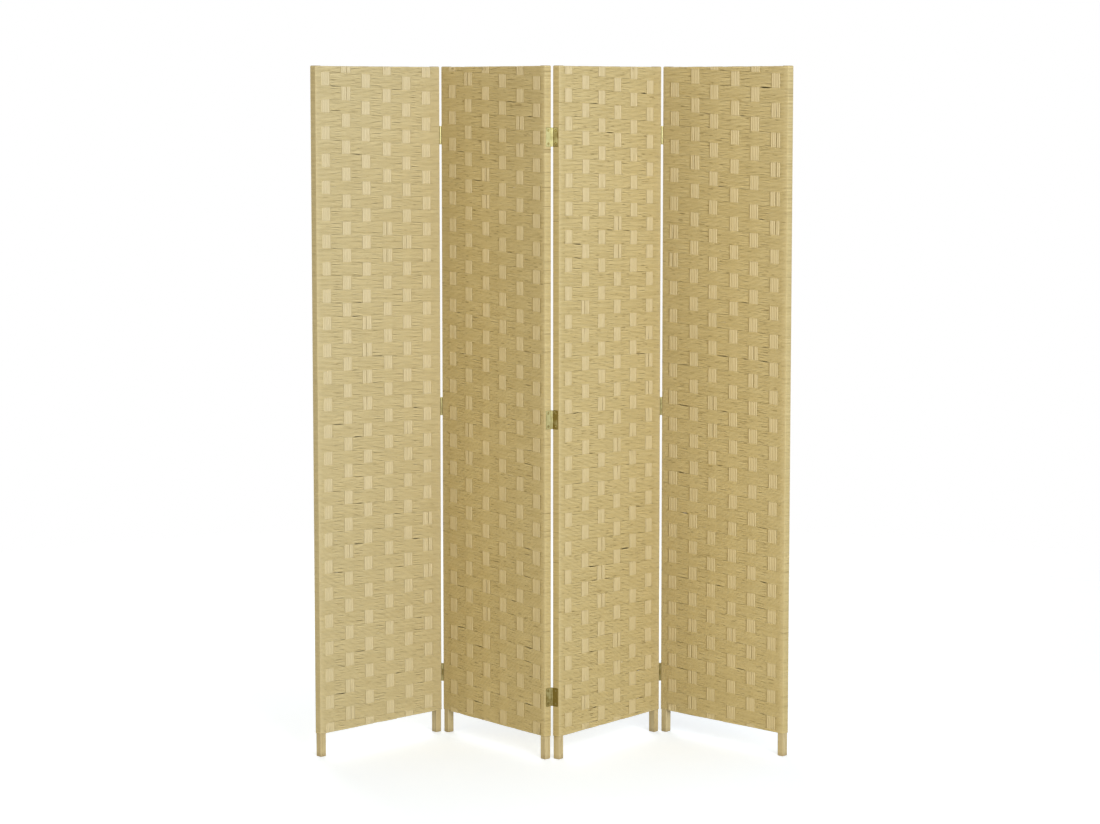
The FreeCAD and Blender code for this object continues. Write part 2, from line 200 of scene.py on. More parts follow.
def paperMaterial(name, pale, deep, shadow, shadeDashes):
    # twisted paper string: each string has its own tone, with fibres, creases and a twist along it; painted
    # shade in the twist's grooves, in dark dashes and towards the floor, painted highlights in pale streaks
    # and at the bends, and paper drawn paler as painted light
    material, graph, shader = newMaterial(name)
    spec = paperSpec
    run = graph.attribute("along")
    around = graph.attribute("around")
    tone = graph.attribute("strand")
    faded = graph.attribute("faded")
    place = graph.add("ShaderNodeTexCoord", out="Object")
    height = graph.split(place)[2]
    lane = tone * spec["laneStep"]
    twist = ((run / spec["twistLength"] + around + tone * spec["twistStart"]) * (2 * pi)).math("SINE")
    fibreAt = graph.vector(run / spec["fibreLength"], around * spec["fibresAround"] + lane, lane)
    fibre = graph.noise(fibreAt, 1.0, 3.0)
    dashAt = graph.vector(run / spec["dashLength"], around * spec["dashesAround"] + lane, spec["dashPlane"])
    dashNoise = graph.noise(dashAt, 1.0, 1.0)
    patch = graph.noise(place, spec["patchScale"], 3.0)
    # painted highlights: pale streaks along the strings
    paintedHighlight = ((spec["paintedHighlightBelow"] - dashNoise) * spec["paintedHighlightSharp"]).clip(0, 1) * spec["paintedHighlight"]
    blend = tone * spec["ownTone"] + fibre * spec["fibreTone"] + patch * spec["patchTone"]
    colour = graph.mixColour((blend - spec["lightness"] - paintedHighlight).clip(0, 1), pale, deep)
    # painted shade: darker towards the floor
    depth = ((spec["paintedShadeBelow"] - height) * spec["paintedShadePerMetre"]).clip(0, 1)
    colour = graph.mixColour(depth, colour, spec["paintedLowShade"])
    # painted light: the paper drawn paler and cooler where it is marked so (panel 1)
    colour = graph.mixColour(faded, colour, spec["paintedPaleTone"])
    # painted shade: dark dashes along the strings, and a little in the twist's grooves
    paintedDashShade = ((dashNoise - spec["dashFrom"]) * spec["dashSharp"]).clip(0, 1) * shadeDashes
    paintedDashShade = paintedDashShade * (1 - faded * spec["paledCalm"])
    paintedStringShade = (twist * 0.5 + 0.5) ** 3 * spec["twistShade"] + paintedDashShade
    colour = graph.mixColour(paintedStringShade.clip(0, 1), colour, shadow)
    # wear and painted highlight: paler where a string bends around a bar
    colour = graph.mixColour(graph.attribute("corner") * spec["cornerWearAndHighlight"], colour, spec["wearAndPaintedLight"])
    low, high = spec["roughness"]
    relief = twist * spec["twistRelief"] + fibre * spec["fibreRelief"] - dashNoise
    graph.feed(shader, {
        "Base Color": colour,
        "Roughness": fibre * (high - low) + low,
        "Specular IOR Level": spec["specular"],
        "Normal": bumped(graph, relief, spec["bumpHeight"], spec["bumpStrength"]),
    })
    return material


woodSpec = {
    "pale": srgb(203, 187, 142),
    "deep": srgb(173, 152, 106),
    "pore": srgb(126, 100, 56),
    "grainAcross": 190.0,     # growth lines per metre of width
    "grainAlong": 7.0,
    "grainTone": 1.5,
    "streakAcross": 150.0,    # short dark streaks
    "streakAlong": 45.0,
    "streakFrom": 0.58,
    "streakDark": 0.45,
    "poreAcross": 1330.0,
    "poreAlong": 98.0,
    "poreFrom": 0.62,
    "poreDark": 0.5,
    "speckSharp": 6,          # of both pores and streaks
    "patchScale": 9.0,
    "patchTone": 0.6,
    "lightness": 0.6,
    "footDarkHeight": 0.012,
    "footDark": 0.35,
    "grainRelief": 0.6,
    "bumpHeight": 0.0002,
    "bumpStrength": 0.6,
    "roughness": (0.45, 0.70),
    "specular": 0.35,
}


def woodMaterial():
    # pale wood with upright grain, short pores and streaks, and a little darker at the feet
    material, graph, shader = newMaterial("paleWood")
    place = graph.add("ShaderNodeTexCoord", out="Object")
    spec = woodSpec
    x, y, z = graph.split(place)

    def stretched(kind, detail):
        across = spec[kind + "Across"]
        return graph.noise(graph.vector(x * across, y * across, z * spec[kind + "Along"]), 1.0, detail)

    grain = stretched("grain", 3.0)
    pores = stretched("pore", 1.0)
    streaks = stretched("streak", 2.0)
    patch = graph.noise(place, spec["patchScale"], 2.0)
    blend = grain * spec["grainTone"] + patch * spec["patchTone"] - spec["lightness"]
    colour = graph.mixColour(blend.clip(0, 1), spec["pale"], spec["deep"])
    poreMark = ((pores - spec["poreFrom"]) * spec["speckSharp"]).clip(0, 1) * spec["poreDark"]
    streakMark = ((streaks - spec["streakFrom"]) * spec["speckSharp"]).clip(0, 1) * spec["streakDark"]
    speck = poreMark + streakMark
    # darker over the lowest centimetre of the legs
    foot = (1 - z / spec["footDarkHeight"]).clip(0, 1) * spec["footDark"]
    colour = graph.mixColour((speck + foot).clip(0, 1), colour, spec["pore"])
    low, high = spec["roughness"]
    relief = grain * spec["grainRelief"] - speck
    graph.feed(shader, {
        "Base Color": colour,
        "Roughness": grain * (high - low) + low,
        "Specular IOR Level": spec["specular"],
        "Normal": bumped(graph, relief, spec["bumpHeight"], spec["bumpStrength"]),
    })
    return material


brassSpec = {
    "brushAcross": 300.0,
    "brushAlong": 2600.0,
    "spotScale": 60.0,
    "spotFrom": 0.46,
    "spotTone": 1.3,
    "rimTarnishAndShade": 0.8,
    "darkerBelow": 1.5,        # the lower hinges are drawn darker
    "lowDarkening": 0.46,          # for each metre
    "metallic": (0.6, 0.15),  # bright, and at full tarnish and painted shade
    "brushRough": 0.2,
    "tarnishAndShadeRough": 0.22,
    "bumpHeight": 0.00005,
    "bumpStrength": 0.5,
}


def metalMaterial(name, pale, deep, rough):
    # aged brass: brushed across the leaf, dull spots, darker at the rims (tarnish and painted shade), on
    # the leaves drawn in painted shade and on the lower hinges
    material, graph, shader = newMaterial(name)
    place = graph.add("ShaderNodeTexCoord", out="Object")
    spec = brassSpec
    x, y, z = graph.split(place)
    brushed = graph.vector(x * spec["brushAcross"], y * spec["brushAcross"], z * spec["brushAlong"])
    brush = graph.noise(brushed, 1.0, 2.0)
    spots = graph.noise(place, spec["spotScale"], 4.0)
    low = (spec["darkerBelow"] - z).clip(0, spec["darkerBelow"]) * spec["lowDarkening"]
    # tarnish and painted shade at the rims, and painted shade on a whole leaf
    wearAndPaintedLight = graph.attribute("rim") * spec["rimTarnishAndShade"] + graph.attribute("dulled")
    tarnishAndShade = ((spots - spec["spotFrom"]) * spec["spotTone"] + wearAndPaintedLight + low).clip(0, 1)
    bright, dark = spec["metallic"]
    graph.feed(shader, {
        "Base Color": graph.mixColour(tarnishAndShade, pale, deep),
        "Metallic": bright - tarnishAndShade * (bright - dark),
        "Roughness": (brush * spec["brushRough"] + tarnishAndShade * spec["tarnishAndShadeRough"] + rough).clip(0, 1),
        "Normal": bumped(graph, brush + spots, spec["bumpHeight"], spec["bumpStrength"]),
    })
    return material


weftPaper = paperMaterial("strawString", srgb(221, 204, 153), srgb(199, 180, 125), srgb(126, 100, 50), 0.60)
warpPaper = paperMaterial("creamBand", srgb(216, 200, 159), srgb(200, 184, 138), srgb(160, 138, 90), 0.22)
paleWood = woodMaterial()
hingeBrass = metalMaterial("agedBrass", srgb(212, 208, 154), srgb(114, 95, 22), 0.30)
screwBrass = metalMaterial("screwBrass", srgb(190, 178, 112), srgb(90, 70, 20), 0.26)
print("materials made")


# Panels

def panelMatrix(panel):
    # a panel's own frame: X across, Y to the back, Z up, from the floor under its middle
    left = sum(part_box(f"left_post_{panel}"), Vector()) / 2
    right = sum(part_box(f"right_post_{panel}"), Vector()) / 2
    across = (right - left).normalized()
    middle = (left + right) / 2
    matrix = Matrix.Rotation(across.xy.angle_signed(Vector((1, 0))), 4, "Z")
    matrix.translation = (middle.x, middle.y, 0)
    return matrix


def addPiece(piece, panel, slot, *replaced):
    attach(piece, f"panel_{panel}")
    if replaced:
        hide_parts(*replaced)


# Geometry Nodes helpers

def newTree(name, inputs):
    tree = bpy.data.node_groups.new(name, "GeometryNodeTree")
    for label, kind in inputs.items():
        tree.interface.new_socket(label, in_out="INPUT", socket_type="NodeSocket" + kind)
    tree.interface.new_socket("Geometry", in_out="OUTPUT", socket_type="NodeSocketGeometry")
    graph = Graph(tree)
    source = tree.nodes.new("NodeGroupInput")
    return graph, {label: Field(graph, source.outputs[label]) for label in inputs}


def closeTree(graph, geometry, material):
    geometry = graph.add("GeometryNodeRealizeInstances", {}, {"Geometry": geometry})
    geometry = graph.add("GeometryNodeSetMaterial", {}, {"Geometry": geometry, "Material": material})
    target = graph.tree.nodes.new("NodeGroupOutput")
    graph.tree.links.new(geometry.socket, target.inputs["Geometry"])
    return graph.tree


def runTree(tree, name, values):
    # the tree's result as a plain mesh at the origin
    piece = bpy.data.objects.new(name, bpy.data.meshes.new(name))
    scene.collection.objects.link(piece)
    modifier = piece.modifiers.new("nodes", "NODES")
    modifier.node_group = tree
    for item in tree.interface.items_tree:
        if item.in_out == "INPUT":
            modifier[item.identifier] = values[item.name]
    evaluated = piece.evaluated_get(bpy.context.evaluated_depsgraph_get())
    shape = bpy.data.meshes.new_from_object(evaluated)
    piece.modifiers.clear()
    piece.data = shape
    shape.name = name
    return piece


# Weave: each set of strings is wound around two bars, over and under the bundles of the other set

windingInputs = {
    "Strands": "Int",
    "First": "Int",                # number of the first string, from the top or the left
    "Group": "Int",                # strings that go over and under together
    "Pitch": "Float",
    "Group Pitch": "Float",
    "Start": "Float",
    "Descent": "Float",            # sideways on one turn around the bars
    "Open": "Int",                 # 1 where a turn goes on into a later string, 0 for a closed loop
    "Crossings": "Int",            # bundles of the other set on one side
    "Crossing Pitch": "Float",
    "Crossing Shift": "Float",
    "Lean": "Float",               # crossings' shift on one turn of the other set
    "Flat": "Float",               # half the straight stretch at a crossing
    "Slope": "Float",              # from a crossing's middle to the point half way down
    "Reach": "Float",              # last crossing point before the bar
    "Half Length": "Float",
    "Half Depth": "Float",
    "Corner": "Float",
    "Sink": "Float",               # from the outer layer to the inner one
    "Held Ends": "Float",          # 1 where the string lies on a post
    "Parity": "Int",
    "Back Parity": "Int",
    "Width": "Float",
    "Thickness": "Float",
    "Sides": "Int",
    "Wander": "Float",
    "Crossing Jitter": "Float",
    "Group Jitter": "Float",
    "Opening": "Float",            # widest slit between two groups
    "Slit": "Float",               # widest slit inside a group
    "Parting": "Float",            # how far single strings stray between crossings
    "Calm": "Float",               # over this length beside a bar the strings lie close
    "Drift": "Float",              # how far the rows stray from straight
    "Bow": "Float",                # how far the middle rows sit above an even spacing
    "Trim": "Float",               # strings end this far inside the edges
    "Paled": "Float",              # painted light: share of the paper drawn paler and cooler
    "Upright": "Float",            # 1 turns the loops from level to upright
    "Low": "Float",
    "High": "Float",
    "Half Width": "Float",
    "Seed": "Int",
    "Material": "Material",
}
windingSpec = {
    "cornerSteps": 4,             # points around one corner of a bar
    "postRest": 0.003,            # how far onto a post a crossing's point may lie
    "pointGap": 2e-6,             # keeps points apart that fall on one spot
    "slopeFall": 0.65,            # how far down a sloping point is
    "rippleLength": 0.0625,
    "rippleStep": 0.35,           # from one string to the next
    "rippleSide": 30,             # from the front to the back
    "rippleDepth": 0.2,           # as a share of the wander
    "strayRipple": 2,
    "strayOwn": 0.6,              # and what a whole string strays
    "tearLength": 0.25,
    "tearStep": 9.7,              # from one bundle to the next
    "tearSide": 7,
    "tearFrom": 0.62,             # a bundle is torn where the noise is above this
    "tearSharp": 10,
    "openStrings": 2,             # strings that make way for a slit
    "openChance": 4,              # the higher, the rarer a wide slit
    "openAbove": 0.45,            # below this draw a point stays where it is
    "seamJump": 0.3,              # a value this far under its face's mean is past the map's seam
    "boundless": 9,               # loops that aren't cut off at the edges may go this far past them
    "driftStep": 5.3,             # from one panel to the next
    "driftAcross": 3.2,           # waves per metre, across and up
    "driftUp": 2.6,
    "evenAcross": 0.05,           # over this length the drift fades out beside an edge
    "evenUp": 0.08,
}
backSalt, rowSalt, stepSalt, stringSalt = 16, 41, 97, 613   # keep the random draws apart


def windingTree():
    spec = windingSpec
    cornerSteps = spec["cornerSteps"]
    graph, given = newTree("stringWinding", windingInputs)
    add = graph.add

    def chance(number, seedStep):
        values = {7: number, 8: given["Seed"] * 10 + seedStep}
        return add("FunctionNodeRandomValue", {}, values, 1)

    def store(geometry, name, value, kind="FLOAT", domain="POINT"):
        values = {"Geometry": geometry, "Name": name, "Value": value}
        return add("GeometryNodeStoreNamedAttribute", {"data_type": kind, "domain": domain}, values)

    # one turn for each string, with the same points on the front and on the back
    sidePoints = given["Crossings"] * 4 + 2 * cornerSteps
    turnPoints = sidePoints * 2 + given["Open"]
    turn = add("GeometryNodeCurvePrimitiveCircle", {}, {"Resolution": turnPoints})
    row = add("GeometryNodeMeshLine", {}, {"Count": given["Strands"]})
    turns = add("GeometryNodeInstanceOnPoints", {}, {"Points": row, "Instance": turn})
    turns = add("GeometryNodeRealizeInstances", {}, {"Geometry": turns})
    index = add("GeometryNodeInputIndex")
    strand = ((index + 0.5) / turnPoints).floor()
    step = index - strand * turnPoints
    side = ((step + 0.5) / sidePoints).floor()
    spot = step - side * sidePoints
    back = side % 2
    facing = 1 - back * 2
    number = strand + given["First"]
    group = ((number + 0.5) / given["Group"]).floor()
    place = number - group * given["Group"]
    halfPlace = place - (given["Group"] - 1) * 0.5
    groupJitter = (chance(group, 6) * 2 - 1) * given["Group Jitter"]
    groupStart = given["Start"] + group * given["Group Pitch"]
    groupMiddle = groupStart + (given["Group"] - 1) * 0.5 * given["Pitch"]

    # around the bars
    fromStart = (spot / (cornerSteps - 1)).clip(0, 1)
    fromEnd = ((sidePoints - 1 - spot) / (cornerSteps - 1)).clip(0, 1)
    bend = fromStart.math("MINIMUM", fromEnd) * (pi / 2)
    farEnd = (spot > sidePoints * 0.5 - 0.5) * 2 - 1
    corner = given["Corner"]
    cornerAlong = farEnd * (given["Half Length"] - corner + corner * bend.math("COSINE"))
    rim = given["Half Depth"] - corner + corner * bend.math("SINE")

    # over and under the crossings, with four points at each
    crossing = ((spot - cornerSteps + 0.5) / 4).floor().clip(0, given["Crossings"] - 1)
    offset = spot - cornerSteps - crossing * 4 - 1.5
    between = (spot > cornerSteps - 0.5) * (spot < sidePoints - cornerSteps - 0.5)
    sloping = (abs(offset) > 1) * between
    reach = given["Flat"] + sloping * (given["Slope"] - given["Flat"])
    halfCount = (given["Crossings"] - 1) * 0.5
    lean = given["Lean"] * (back * 0.5 + 0.25 + facing * groupMiddle / (given["Half Width"] * 4))
    column = crossing * facing + back * (given["Crossings"] - 1)
    crossingJitter = (chance(column, 6) * 2 - 1) * given["Crossing Jitter"]
    shifted = (given["Crossing Shift"] + lean) * facing
    wanted = (crossing - halfCount) * given["Crossing Pitch"] + shifted + crossingJitter * facing
    wanted = wanted + offset.math("SIGN") * reach
    # a point past the bar's edge lies on the bar, close to that edge
    rest = given["Reach"] + given["Held Ends"] * spec["postRest"]
    crossingAlong = wanted.clip(rest * -1, rest)
    cut = abs(wanted) > given["Reach"]
    here = ((crossingAlong - shifted) / given["Crossing Pitch"] + halfCount + 0.5).floor()
    apart = (spot - sidePoints * 0.5) * spec["pointGap"]
    along = cornerAlong + between * (crossingAlong + apart - cornerAlong)
    odd = (here + group + given["Parity"] + back * given["Back Parity"]) % 2
    level = (1 - odd * 2) * (1 - sloping * (1 - cut) * spec["slopeFall"])
    onBar = (1 - between).math("MAXIMUM", cut)
    level = level + given["Held Ends"] * onBar * (1 - level)
    own = given["Seed"] + side * spec["rippleSide"]
    waved = graph.vector(along / spec["rippleLength"], number * spec["rippleStep"], own)
    ripple = graph.noise(waved, 1.0, 2.0) - 0.5
    depth = rim - (1 - level) * 0.5 * given["Sink"] - ripple * spec["rippleDepth"] * given["Wander"]

    # sideways: rows open in places, bundles split, each string strays a little
    topNear = (1 - place / spec["openStrings"]).clip(0, 1)
    lowNear = (1 - (given["Group"] - 1 - place) / spec["openStrings"]).clip(0, 1)
    gap = column + (offset * facing > 0) + back * backSalt
    ease = chance(step + group * stepSalt, 5)
    topOpen = chance(group * rowSalt + gap, 1) ** spec["openChance"]
    lowOpen = chance((group + 1) * rowSalt + gap, 1) ** spec["openChance"]
    loose = ((given["Reach"] - abs(along)) / given["Calm"]).clip(0, 1) * sloping
    opened = loose * (topNear * topOpen - lowNear * lowOpen) * (ease > spec["openAbove"])
    parted = loose * (chance(step + number * stringSalt, 7) - 0.5) * given["Parting"]
    own = given["Seed"] + side * spec["tearSide"]
    tearing = graph.vector(along / spec["tearLength"], group * spec["tearStep"], own)
    torn = ((graph.noise(tearing, 1.0, 0.0) - spec["tearFrom"]) * spec["tearSharp"]).clip(0, 1)
    half = (halfPlace + chance(group, 8) - 0.5).math("SIGN")
    split = torn * half * given["Slit"]
    stray = (chance(number, 3) - 0.5) * spec["strayOwn"] + ripple * spec["strayRipple"]
    turned = side * 0.5 + 0.25 + along / (given["Half Length"] * 4)
    sideways = groupStart + place * given["Pitch"]
    sideways = sideways + groupJitter + turned * given["Descent"]
    sideways = sideways + opened * given["Opening"] + parted + split + stray * given["Wander"]
    closed = 1 - given["Open"]
    free = closed * spec["boundless"]
    lowest = given["Low"] + given["Trim"] - free
    held = sideways.clip(lowest, given["High"] - given["Trim"] + free)
    position = graph.vector(along * facing, depth * facing * -1, held)
    turns = add("GeometryNodeSetPosition", {}, {"Geometry": turns, "Position": position})
    turns = store(turns, "along", along + side * given["Half Length"] * 2)
    turns = store(turns, "strand", chance(number, 4))
    # painted light: share of the paper drawn paler and cooler
    turns = store(turns, "faded", given["Paled"])
    turns = store(turns, "mapAlong", step / turnPoints)
    turns = store(turns, "mapStrand", strand)
    turns = store(turns, "corner", (1 - between) * (bend / (pi / 2)))
    turns = add("GeometryNodeSetSplineCyclic", {}, {"Geometry": turns, "Cyclic": closed > 0.5})
    # the last string lies level along the edge, and what would be past it is cut off
    outside = abs(sideways - held) > abs(given["Pitch"])
    past = {"Geometry": turns, "Selection": outside}
    turns = add("GeometryNodeDeleteGeometry", {"domain": "POINT"}, past)
    turns = add("GeometryNodeSetCurveNormal", {"mode": "Z_UP"}, {"Curve": turns})

    # flattened section
    section = add("GeometryNodeCurvePrimitiveCircle", {}, {"Resolution": given["Sides"], "Radius": 0.5})
    squash = graph.vector(given["Thickness"], given["Width"], 1)
    section = add("GeometryNodeTransform", {}, {"Geometry": section, "Scale": squash})
    section = store(section, "around", index / given["Sides"])
    swept = {"Curve": turns, "Profile Curve": section, "Fill Caps": True}
    solid = add("GeometryNodeCurveToMesh", {}, swept)

    # a map of its own: along each string, one string above another
    def unrolled(name):
        value = add("GeometryNodeInputNamedAttribute", {"data_type": "FLOAT"}, {"Name": name})
        mean = add("GeometryNodeFieldOnDomain", {"domain": "FACE", "data_type": "FLOAT"}, {0: value})
        return value + ((mean - value) > spec["seamJump"])

    rows = add("GeometryNodeInputNamedAttribute", {"data_type": "FLOAT"}, {"Name": "mapStrand"})
    spread = graph.vector(unrolled("mapAlong"), (rows + unrolled("around")) / given["Strands"], 0)
    solid = store(solid, "OFBake", spread, "FLOAT2", "CORNER")

    # into the panel's frame, then off straight as hand weaving is
    euler = graph.vector(0, given["Upright"] * (pi / 2), 0)
    rotation = add("FunctionNodeEulerToRotation", {}, {0: euler})
    rise = graph.vector(0, 0, given["Upright"] * (given["Low"] + given["High"]) * 0.5)
    stood = {"Geometry": solid, "Translation": rise, "Rotation": rotation}
    solid = add("GeometryNodeTransform", {}, stood)
    x, _, z = graph.split(add("GeometryNodeInputPosition"))
    drifting = graph.vector(x * spec["driftAcross"], given["Seed"] * spec["driftStep"], z * spec["driftUp"])
    strayX, _, strayZ = graph.split(graph.noise(drifting, 1.0, 1.0, "Color"))
    fadeX = ((given["Half Width"] - abs(x)) / spec["evenAcross"]).clip(0, 1)
    fadeZ = ((z - given["Low"]).math("MINIMUM", given["High"] - z) / spec["evenUp"]).clip(0, 1)
    middle = (z - given["Low"]) / (given["High"] - given["Low"]) * 2 - 1
    bowed = (1 - middle * middle).clip(0, 1) * given["Bow"]
    drift = given["Drift"]
    shift = graph.vector((strayX - 0.5) * fadeX * drift, 0, (strayZ - 0.5) * fadeZ * drift + bowed)
    solid = add("GeometryNodeSetPosition", {}, {"Geometry": solid, "Offset": shift})
    solid = add("GeometryNodeSetShadeSmooth", {}, {"Geometry": solid})
    return closeTree(graph, solid, given["Material"])


weaveSpec = {
    "halfWidth": 0.200,
    "halfDepth": 0.0103,
    "postEdge": 0.1822,          # where the string leaves the post
    "stringThick": 0.0012,
    "weftOverlap": 1.12,         # a string's width in pitches
    "weftBand": 11,              # strings in one row
    "edgeRoom": 0.0005,          # for the warp that goes over the rail
    "crown": 0.0012,             # the weave's top edge over the rail
    "columns": 6,
    "columnJitter": 0.002,
    "blockWidth": 0.026,
    "strips": 5,                 # flat strips in one warp bundle
    "stripOverlap": 1.25,
    "sink": 0.00135,
    "weftCorner": 0.0009,
    "warpCorner": 0.0018,
    "drift": 0.0080,
    "opening": 0.0013,
    "parting": 0.0011,
    "slit": 0.0016,
    "calm": 0.020,               # no slits this near to a post
    "weftFlat": 0.0015,          # a string lies flat this far past the edge of a bundle
    "weftSlope": 0.010,          # and is half way down here
    "weftSides": 4,
    "weftWander": 0.00030,
    "warpFlat": 0.0026,          # a strip lies flat up to this far inside the edge of a row
    "warpSlope": 0.0005,         # and is half way down here
    "warpSides": 6,
    "warpWander": 0.00025,
    "railRoom": 0.001,           # from the last row to the bend around a rail
}
# by panel: its rows' height, the middle of the top one, their bow and whether column 1 shows there; the
# columns' shift and pitch; how far the paper is drawn paler and cooler, as painted light
rowSpec = {
    1: {"height": 0.03340, "top": 1.6950, "bow": 0.007, "firstShows": 0,
        "shift": -0.0068, "columnPitch": 0.0646, "faded": 0.10},
    2: {"height": 0.03445, "top": 1.6979, "bow": 0.018, "firstShows": 1,
        "shift": 0.0055, "columnPitch": 0.0655, "faded": 0.0},
    3: {"height": 0.03482, "top": 1.6881, "bow": 0.012, "firstShows": 1,
        "shift": -0.0044, "columnPitch": 0.0631, "faded": 0.0},
    4: {"height": 0.03445, "top": 1.7066, "bow": -0.019, "firstShows": 1,
        "shift": -0.0006, "columnPitch": 0.0641, "faded": 0.0},
}


def weavePanel(panel, tree):
    spec = weaveSpec
    rows = rowSpec[panel]
    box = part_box(f"weft_weave_{panel}")
    low = box[0].z
    high = box[1].z + spec["crown"]
    matrix = panelMatrix(panel)
    height = rows["height"]
    pitch = height / spec["weftBand"]
    stripPitch = spec["blockWidth"] / spec["strips"]
    shared = {
        "Half Depth": spec["halfDepth"] - spec["stringThick"] / 2,
        "Sink": spec["sink"],
        "Thickness": spec["stringThick"],
        "Parity": rows["firstShows"],
        "Drift": spec["drift"],
        "Calm": spec["calm"],
        "Bow": rows["bow"],
        "Trim": spec["edgeRoom"] + pitch / 2,
        "Low": low,
        "High": high,
        "Half Width": spec["halfWidth"],
        "Paled": rows["faded"],
        "Seed": panel,
    }
    # a row goes down by its own height on each turn, and one more row starts above the top edge
    start = rows["top"] + height / 4 + (spec["weftBand"] - 1) / 2 * pitch
    weft = {
        "Group": spec["weftBand"],
        "Pitch": -pitch,
        "Group Pitch": -height,
        "Start": start,
        "Descent": -height,
        "Open": 1,
        "Crossings": spec["columns"],
        "Crossing Pitch": rows["columnPitch"],
        "Crossing Shift": rows["shift"],
        "Lean": 0.0,
        "Flat": spec["blockWidth"] / 2 + spec["weftFlat"],
        "Slope": spec["blockWidth"] / 2 + spec["weftSlope"],
        "Reach": spec["postEdge"],
        "Half Length": spec["halfWidth"] - spec["stringThick"] / 2,
        "Corner": spec["weftCorner"],
        "Held Ends": 1.0,
        "Back Parity": 0,
        "Width": pitch * spec["weftOverlap"],
        "Sides": spec["weftSides"],
        "Wander": spec["weftWander"],
        "Crossing Jitter": spec["columnJitter"],
        "Group Jitter": 0.0,
        "Opening": -spec["opening"],
        "Slit": 0.0,
        "Parting": spec["parting"],
        "Upright": 0.0,
        "Material": weftPaper,
    }
    first = -spec["weftBand"]
    last = int((start - low) / pitch)
    half = (first + last) // 2
    for name, begin, end in (("upper", first, half), ("lower", half, last)):
        own = {"Strands": end - begin, "First": begin}
        piece = runTree(tree, f"{name}Weft{panel}", {**shared, **weft, **own})
        piece.data.transform(matrix)
        addPiece(piece, panel, "paper_string", f"weft_weave_{panel}")
    # the strips' rows, with some to spare past both ends
    count = int((rows["top"] - low) / height) + 3
    columnsWide = rows["columnPitch"] * (spec["columns"] - 1) + stripPitch * (spec["strips"] - 1)
    warp = {
        "Strands": spec["columns"] * spec["strips"],
        "First": 0,
        "Group": spec["strips"],
        "Pitch": stripPitch,
        "Group Pitch": rows["columnPitch"],
        "Start": rows["shift"] - columnsWide / 2,
        "Descent": 0.0,
        "Open": 0,
        "Crossings": count,
        "Crossing Pitch": height,
        "Crossing Shift": (low + high) / 2 - rows["top"] + height * ((count - 1) / 2 - 1.25),
        "Lean": height,
        "Flat": height / 2 - spec["warpFlat"],
        "Slope": height / 2 - spec["warpSlope"],
        "Reach": (high - low) / 2 - spec["warpCorner"] - spec["railRoom"],
        "Half Length": (high - low - spec["stringThick"]) / 2,
        "Corner": spec["warpCorner"],
        "Held Ends": 0.0,
        "Back Parity": count % 2,
        "Width": stripPitch * spec["stripOverlap"],
        "Sides": spec["warpSides"],
        "Wander": spec["warpWander"],
        "Crossing Jitter": 0.0,
        "Group Jitter": spec["columnJitter"],
        "Opening": 0.0,
        "Slit": spec["slit"],
        "Parting": 0.0,
        "Upright": 1.0,
        "Material": warpPaper,
    }
    piece = runTree(tree, f"warpBands{panel}", {**shared, **warp})
    piece.data.transform(matrix)
    addPiece(piece, panel, "paper_band", f"warp_bands_{panel}")


winding = windingTree()
for panel in panels:
    weavePanel(panel, winding)
    print("panel", panel, "woven")

for name, node in frame["nodes"].items():
    if "_post_" in name or "_rail_" in name:
        node.data.materials.clear()
        node.data.materials.append(paleWood)


# Hinges: three to a joint, each of two leaves that are rolled into knuckles around a pin

hingeSpec = {
    "height": 0.046,
    "thick": 0.0010,
    "clearance": 0.00025,      # leaf face to the plane through the pin
    "neck": 0.0023,            # from the pin to where a plate meets its knuckles
    "reach": 0.0183,           # from the pin to the plate's free edge
    "corner": 0.0022,
    "edge": 0.00020,           # broken edges
    "rimBand": 0.0024,         # tarnish and painted shade along the plate's edges
    "rimTone": 0.4,
    "collarBand": 0.0019,      # and around a screw
    "dulled": {"right": 0.0, "left": 0.55},  # painted shade: how much darker the whole leaf is drawn, for the leaves on the left ends that lie in shade
    "play": 0.0001,            # between a screw and its hole
    "barrel": 0.0020,
    "bore": 0.00105,
    "knuckleGap": 0.0003,
    "pin": 0.0010,
    "screwLine": 0.0116,       # from the pin
    "screwSpacing": 0.032,
    "headFace": 0.0003,
    "head": 0.0022,
    "headTop": 0.86,           # the head's flat, as a share
    "headEdge": 0.0001,
    "countersink": 0.0008,
    "shank": 0.0014,
    "screwLength": 0.012,
    "tip": 0.003,
    "tipRadius": 0.0003,
    "crossReach": 0.00125,
    "crossWidth": 0.0006,
    "crossDepth": 0.0007,
    "crossTaper": 0.8,
    # a pin's end: share of its radius, rise
    "dome": ((0.5, 0.0003), (0.85, 0.0002), (1.0, -0.0001)),
}
roundSteps = 20
pinSteps = 16
cornerPoints = 6
sharpAngle = 35    # degrees; steeper edges are not smoothed


def newShape():
    shape = bmesh.new()
    shape.verts.layers.float.new("rim")   # 1 where the brass is drawn darker: tarnish and painted shade
    return shape


def ring(shape, points, rim=0):
    layer = shape.verts.layers.float["rim"]
    verts = [shape.verts.new(point) for point in points]
    for vert in verts:
        vert[layer] = rim
    return verts


def screwRing(radius, x, y, z):
    turns = [2 * pi * step / roundSteps for step in range(roundSteps)]
    return [(x, y + radius * cos(turn), z + radius * sin(turn)) for turn in turns]


def pinRing(radius, z, steps):
    turns = [2 * pi * step / steps for step in range(steps)]
    return [(radius * cos(turn), radius * sin(turn), z) for turn in turns]


def wall(shape, *rings):
    # quads from each ring to the next
    for first, second in zip(rings, rings[1:]):
        for step in range(len(first)):
            after = (step + 1) % len(first)
            shape.faces.new((first[step], first[after], second[after], second[step]))


